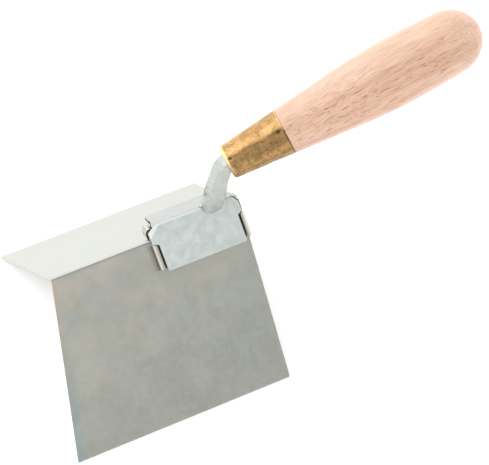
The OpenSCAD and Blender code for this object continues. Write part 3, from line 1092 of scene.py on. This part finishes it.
def cut_away(points, faces, planes):
    """A solid's points and faces after cutting off what lies beyond each (place, normal) plane."""
    solid = bmesh.new()
    verts = [solid.verts.new(p) for p in points]
    for ring in faces:
        solid.faces.new([verts[i] for i in ring])
    for place, normal in planes:
        geometry = solid.verts[:] + solid.edges[:] + solid.faces[:]
        cut = bmesh.ops.bisect_plane(
            solid, geom=geometry, dist=CUT_SNAP, plane_co=place, plane_no=normal, clear_outer=True
        )
        rim = [item for item in cut["geom_cut"] if isinstance(item, bmesh.types.BMEdge)]
        bmesh.ops.holes_fill(solid, edges=rim)
    solid.verts.index_update()
    points = [v.co.copy() for v in solid.verts]
    faces = [[v.index for v in f.verts] for f in solid.faces]
    solid.free()
    return points, faces


def hip_plane(end, side, hip):
    """Place and normal of the slope at one corner of the saddle."""
    start, gain, reach, slope = hip
    first = on_leg(side, SADDLE_X + end * start, 0, STAND)
    second = on_leg(side, SADDLE_X + end * (start + gain), reach, STAND)
    out = on_wing(side, 0, 0, 1)
    away = (second - first).normalized().cross(out)
    if away.x * end < 0:
        away.negate()
    angle = math.radians(slope)
    return first, out * math.cos(angle) + away * math.sin(angle)


def toes():
    """The four toes under the hooks of the tabs, as boxes of points and faces."""
    down_start, down_end = TAB_START + 0.3, TAB_END - 0.3
    boxes = []
    for side in (-1, 1):
        for end in (-1, 1):
            start, tip = SADDLE_X + end * (WALL_HALF - 1), SADDLE_X + end * (WALL_HALF + TOE)
            base = [(start, down_start), (tip, down_start), (tip, down_end), (start, down_end)]
            heights = (FEET_CLEARANCE, TOE_HEIGHT)
            boxes.append(loft([[on_wing(side, x, down, out) for x, down in base] for out in heights]))
    return boxes


def join(solids):
    """Points and faces of several solids as one."""
    points, faces = [], []
    for more_points, more_faces in solids:
        faces += [[i + len(points) for i in ring] for ring in more_faces]
        points += more_points
    return points, faces


def saddle():
    flat = saddle_pattern()
    points, faces = shell(flat, saddle_point, PLATE)
    flat.free()
    hips = ((-1, FRONT_HIP), (1, BACK_HIP))
    planes = [hip_plane(end, side, hip) for end, hip in hips for side in (-1, 1)]
    points, faces = join([cut_away(points, faces, planes)] + toes())
    piece = make_piece("saddle_plate", points, faces, zinc_plate(), "zinc_plate", "saddle")

    def is_dark(centre, normal):
        """Whether a face is a cut edge across the fold or is on a toe."""
        out = abs(centre.y) * COS_FOLD + centre.z * SIN_FOLD
        return abs(normal.x) > 0.6 or abs(centre.x - SADDLE_X) > WALL_HALF - 0.5 and out < TOE_HEIGHT + 0.1

    soften_edges(piece, 0.3, 3, 28)
    # Painted shade: cut edges across the fold and the toes take the near-black material.
    darken(piece, gap_shade_steel("edge_and_toe_shade", unshaded_edge), is_dark)


# Neck


def neck_line():
    """Places and directions up the neck's middle line."""
    straight = [(FOOT + NECK_UP * (1.0 + 1.2 * i), NECK_UP) for i in range(NECK_SKIPPED, 18)]
    turn = math.pi / 2 - NECK_LEAN - HANDLE_TILT
    bend = []
    for i in range(BEND_STEPS + 1):
        angle = NECK_LEAN + turn * i / BEND_STEPS
        way = Vector((math.sin(angle), 0, math.cos(angle)))
        bend.append((BEND_CENTRE + NECK_BEND * Vector((-way.z, 0, way.x)), way))
    return straight + bend + [(BEND_END + ALONG * t, ALONG) for t in (1.0, 2.5, 4.5)]


def rounded_square(width, depth, corner, steps=7):
    half_w, half_d = width / 2 - corner, depth / 2 - corner
    ring = []
    for sx, sy, start in ((1, 1, 0), (-1, 1, 90), (-1, -1, 180), (1, -1, 270)):
        for k in range(steps + 1):
            angle = math.radians(start + 90 * k / steps)
            ring.append((sx * half_w + corner * math.cos(angle), sy * half_d + corner * math.sin(angle)))
    return ring


def onto_roof(point, over):
    """Slides a point along the neck's lean to a height over the outer faces of the saddle."""
    out = Vector((0, math.copysign(COS_FOLD, point.y), SIN_FOLD))
    return point + NECK_UP * (STAND + over - out.dot(point)) / out.dot(NECK_UP)


def neck_ring(place, way, rise):
    """A ring of the neck, deeper and rounder towards its foot, where it spreads to the back."""
    flare = max(0.0, 1 - rise / FLARE_HEIGHT)
    taper = NECK_TAPER * min(1, TAPER_SPEED * rise / NECK_LENGTH)
    depth = NECK_DEPTH - taper + FLARE_DEPTH * flare
    width = NECK_WIDTH - FLARE_NARROWING * flare
    corner = NECK_CORNER + FLARE_ROUNDING * flare**4
    front = ACROSS.cross(way)
    shift = FLARE_SHIFT * flare
    return [place + front * (u + shift) + ACROSS * v for u, v in rounded_square(depth, width, corner)]


def neck():
    rings = []
    for rise in (-1.2, -0.1, 0.5, 1.3):
        rings.append([onto_roof(point, rise) for point in neck_ring(FOOT, NECK_UP, max(0.0, rise))])
    line = neck_line()
    last = NECK_SKIPPED + len(line) - 1
    for i, (place, way) in enumerate(line, start=NECK_SKIPPED):
        rings.append(neck_ring(place, way, NECK_LENGTH * i / last))
    points, faces = loft(rings)
    make_piece("neck_bar", points, faces, forged_steel(), "neck_steel", "neck")


# Weld


def weld():
    """A bead round the neck's foot, thicker and lumpier on the ridge."""
    front = ACROSS.cross(NECK_UP)
    rings = []
    for angle in turns(72):
        u, v = WELD_HALF_DEPTH * math.cos(angle), WELD_HALF_WIDTH * math.sin(angle)
        point = onto_roof(FOOT + front * (u + FLARE_SHIFT) + ACROSS * v, 0)
        ridge = abs(math.cos(angle)) ** 6
        lumps = (0.05 + 0.2 * ridge) * math.sin(9 * angle) + 0.08 * ridge * math.sin(17 * angle + 1)
        size = BEAD_RADIUS + BEAD_SWELLING * ridge + lumps
        away = (front * math.cos(angle) + ACROSS * math.sin(angle)).normalized()
        rise = Vector((0, 0, size * BEAD_FLATNESS))
        rings.append([point + away * size * math.cos(turn) + rise * math.sin(turn) for turn in turns(12)])
    points, faces = loft(rings, closed=True)
    make_piece("weld_bead", points, faces, weld_steel(), "weld_steel", "weld")


# Ferrule


def ferrule_profile():
    """Places along and radii of the ferrule's skin, out round its mouth and back inside."""
    edge = ferrule_radius(MOUTH_ROLL)
    profile = [(MOUTH_ROLL, edge - MOUTH_LIP)]
    for i in range(11):
        turn = math.pi / 2 * (1 - i / 10)
        profile.append((MOUTH_ROLL * (1 - math.sin(turn)), edge - MOUTH_ROLL * (1 - math.cos(turn))))
    steps = 60
    straight = FERRULE_LENGTH - 0.3 - MOUTH_ROLL
    outside = [MOUTH_ROLL + straight * i / steps for i in range(1, steps + 1)]
    profile += [(t, ferrule_radius(t)) for t in outside]
    profile += [(FERRULE_LENGTH - 0.08, JOINT_RADIUS - 0.1), (FERRULE_LENGTH, JOINT_RADIUS - 0.3)]
    profile.append((FERRULE_LENGTH, JOINT_RADIUS - FERRULE_WALL))
    inside = (FERRULE_LENGTH - INNER_INSET, INNER_INSET)
    return profile + [(t, ferrule_radius(t) - FERRULE_WALL) for t in inside]


def pressed_in(t, radius, angle):
    """How far a place on the ferrule is pressed in."""
    offset = (angle - SEAM_ANGLE + math.pi) % (2 * math.pi) - math.pi
    gap = offset * radius
    press = SEAM_DEPTH * math.exp(-((gap / SEAM_SPREAD) ** 2))
    for spot in (SEAM_START, SEAM_END):
        press += SPOT_DEPTH * math.exp(-((gap / 0.8) ** 2) - ((t - spot) / 0.9) ** 2)
    where = Vector((t * 0.13, math.cos(angle) * 1.6, math.sin(angle) * 1.6))
    return press + UNEVENNESS * (1 + noise.noise(where))


def ferrule():
    """A thin cone with a rolled mouth, divided finely round its seam."""
    fine = [SEAM_ANGLE + math.radians(0.8 * i) for i in range(-20, 21)]
    coarse_steps = 110
    rest = 2 * math.pi - fine[-1] + fine[0]
    coarse = [fine[-1] + rest * i / coarse_steps for i in range(1, coarse_steps)]
    rings = []
    for t, r in ferrule_profile():
        rings.append([at_handle(t, r - pressed_in(t, r, angle), angle) for angle in fine + coarse])
    points, faces = loft(rings, closed=True)
    make_piece("ferrule_cone", points, faces, aged_brass(), "ferrule_brass", "ferrule")


# Handle


def grip_radius(t):
    """Radius of the grip: it swells to the belly, narrows a little, and ends round."""
    if t < BELLY_AT:
        length = BELLY_AT - FERRULE_LENGTH
        u = (t - FERRULE_LENGTH) / length
        return (
            (2 * u**3 - 3 * u**2 + 1) * JOINT_RADIUS
            + (u**3 - 2 * u**2 + u) * JOINT_SLOPE * length
            + (3 * u**2 - 2 * u**3) * BELLY_RADIUS
        )
    if t < BUTT_AT:
        u = (t - BELLY_AT) / (BUTT_AT - BELLY_AT)
        return BELLY_RADIUS - (BELLY_RADIUS - BUTT_RADIUS) * u**2
    u = (t - BUTT_AT) / (HANDLE_LENGTH - BUTT_AT)
    return BUTT_RADIUS * math.sqrt(1 - u**2)


def handle_profile():
    """Places along and radii of the handle, from its spigot to its butt."""
    spigot = [(t, ferrule_radius(t) - SPIGOT_GAP) for t in (SPIGOT_START, FERRULE_LENGTH - 1)]
    rounding = ((-0.1, 0.9), (0.05, 0.35), (0.35, 0.02))
    shoulder = [(FERRULE_LENGTH + t, JOINT_RADIUS - drop) for t, drop in rounding]
    body = 60
    butt = 24
    grip = [FERRULE_LENGTH + (BUTT_AT - FERRULE_LENGTH) * i / body for i in range(1, body + 1)]
    grip += [BUTT_AT + (HANDLE_LENGTH - BUTT_AT) * math.sin(math.pi / 2 * i / butt) for i in range(1, butt)]
    return spigot + shoulder + [(t, grip_radius(t)) for t in grip] + [(HANDLE_LENGTH - 0.004, 0.35)]


def handle():
    points, faces = loft([[at_handle(t, r, angle) for angle in turns(128)] for t, r in handle_profile()])
    make_piece("beech_grip", points, faces, beech(), "beech", "handle")


# Studio

VIEW_AZIMUTH = math.radians(15.41)
VIEW_ELEVATION = math.radians(56.145)
VIEW_ROLL = math.radians(8.442)
VIEW_DISTANCE = 712.4
AIM_RIGHT = -1.1
AIM_UP = -19.8
LENS = 106.75
SENSOR = 36.0

# A dimmer patch of the sky: its direction, and where it starts and ends, as cosines of the angle from it
DIM_TOWARDS = Vector((0.15, -0.78, 0.61)).normalized()
DIM_INSIDE = math.cos(math.radians(22))
DIM_OUTSIDE = math.cos(math.radians(60))
DIM_LEVEL = 0.70
SKY_LEVEL = 1.5

FLOOR_HALF_M = 6.0
FLOOR_GLOW = 0.2
FLOOR_ROUGHNESS = 0.9

LAMP_PLACE_M = Vector((-0.5, 0.35, 1.2))
LAMP_AIM_M = Vector((0.1, 0, 0))
LAMP_SIZE_M = 1.2
LAMP_POWER = 3


def camera():
    """Camera of the photograph's view, aimed past the middle of the object."""
    low, high = cad_box
    turn = Matrix.Rotation(-VIEW_AZIMUTH, 3, "Z")
    forward = turn @ Vector((0, math.cos(VIEW_ELEVATION), -math.sin(VIEW_ELEVATION)))
    right = Matrix.Rotation(VIEW_ROLL, 3, forward) @ turn @ Vector((1, 0, 0))
    above = right.cross(forward)
    aim = (low + high) / 2 + (right * AIM_RIGHT + above * AIM_UP) * MM
    data = bpy.data.cameras.new("view")
    data.lens = LENS
    data.sensor_width = SENSOR
    eye = add_object("view", data)
    axes = Matrix((right, above, -forward)).transposed().to_4x4()
    eye.matrix_world = Matrix.Translation(aim - forward * VIEW_DISTANCE * MM) @ axes
    bpy.context.scene.camera = eye


def floor():
    low, _ = cad_box
    mesh = bpy.data.meshes.new("floor")
    half = FLOOR_HALF_M
    corners = [(-half, -half), (half, -half), (half, half), (-half, half)]
    mesh.from_pydata([(x, y, low.z) for x, y in corners], [], [[0, 1, 2, 3]])
    mesh.materials.append(pale_floor())
    add_object("floor", mesh)


def lamp():
    data = bpy.data.lights.new("top", "AREA")
    data.shape = "DISK"
    data.size = LAMP_SIZE_M
    data.energy = LAMP_POWER
    light = add_object("top", data)
    light.location = LAMP_PLACE_M
    light.rotation_euler = (LAMP_AIM_M - LAMP_PLACE_M).to_track_quat("-Z", "Y").to_euler()


def sky():
    """Soft even light with a dimmer patch in front of the tool, above the camera."""
    world = bpy.data.worlds.new("studio")
    bpy.context.scene.world = world
    world.use_nodes = True
    n = Nodes(world.node_tree, "Generated")
    level = n.span(n.dot(DIM_TOWARDS), DIM_OUTSIDE, DIM_INSIDE, SKY_LEVEL, DIM_LEVEL)
    background = n.tree.nodes["Background"]
    n.feed(background.inputs["Color"], WHITE)
    n.feed(background.inputs["Strength"], level)


def studio():
    floor()
    sky()
    lamp()
    bpy.context.scene.view_settings.view_transform = "Standard"
    camera()


blade()
saddle()
neck()
weld()
ferrule()
handle()
studio()
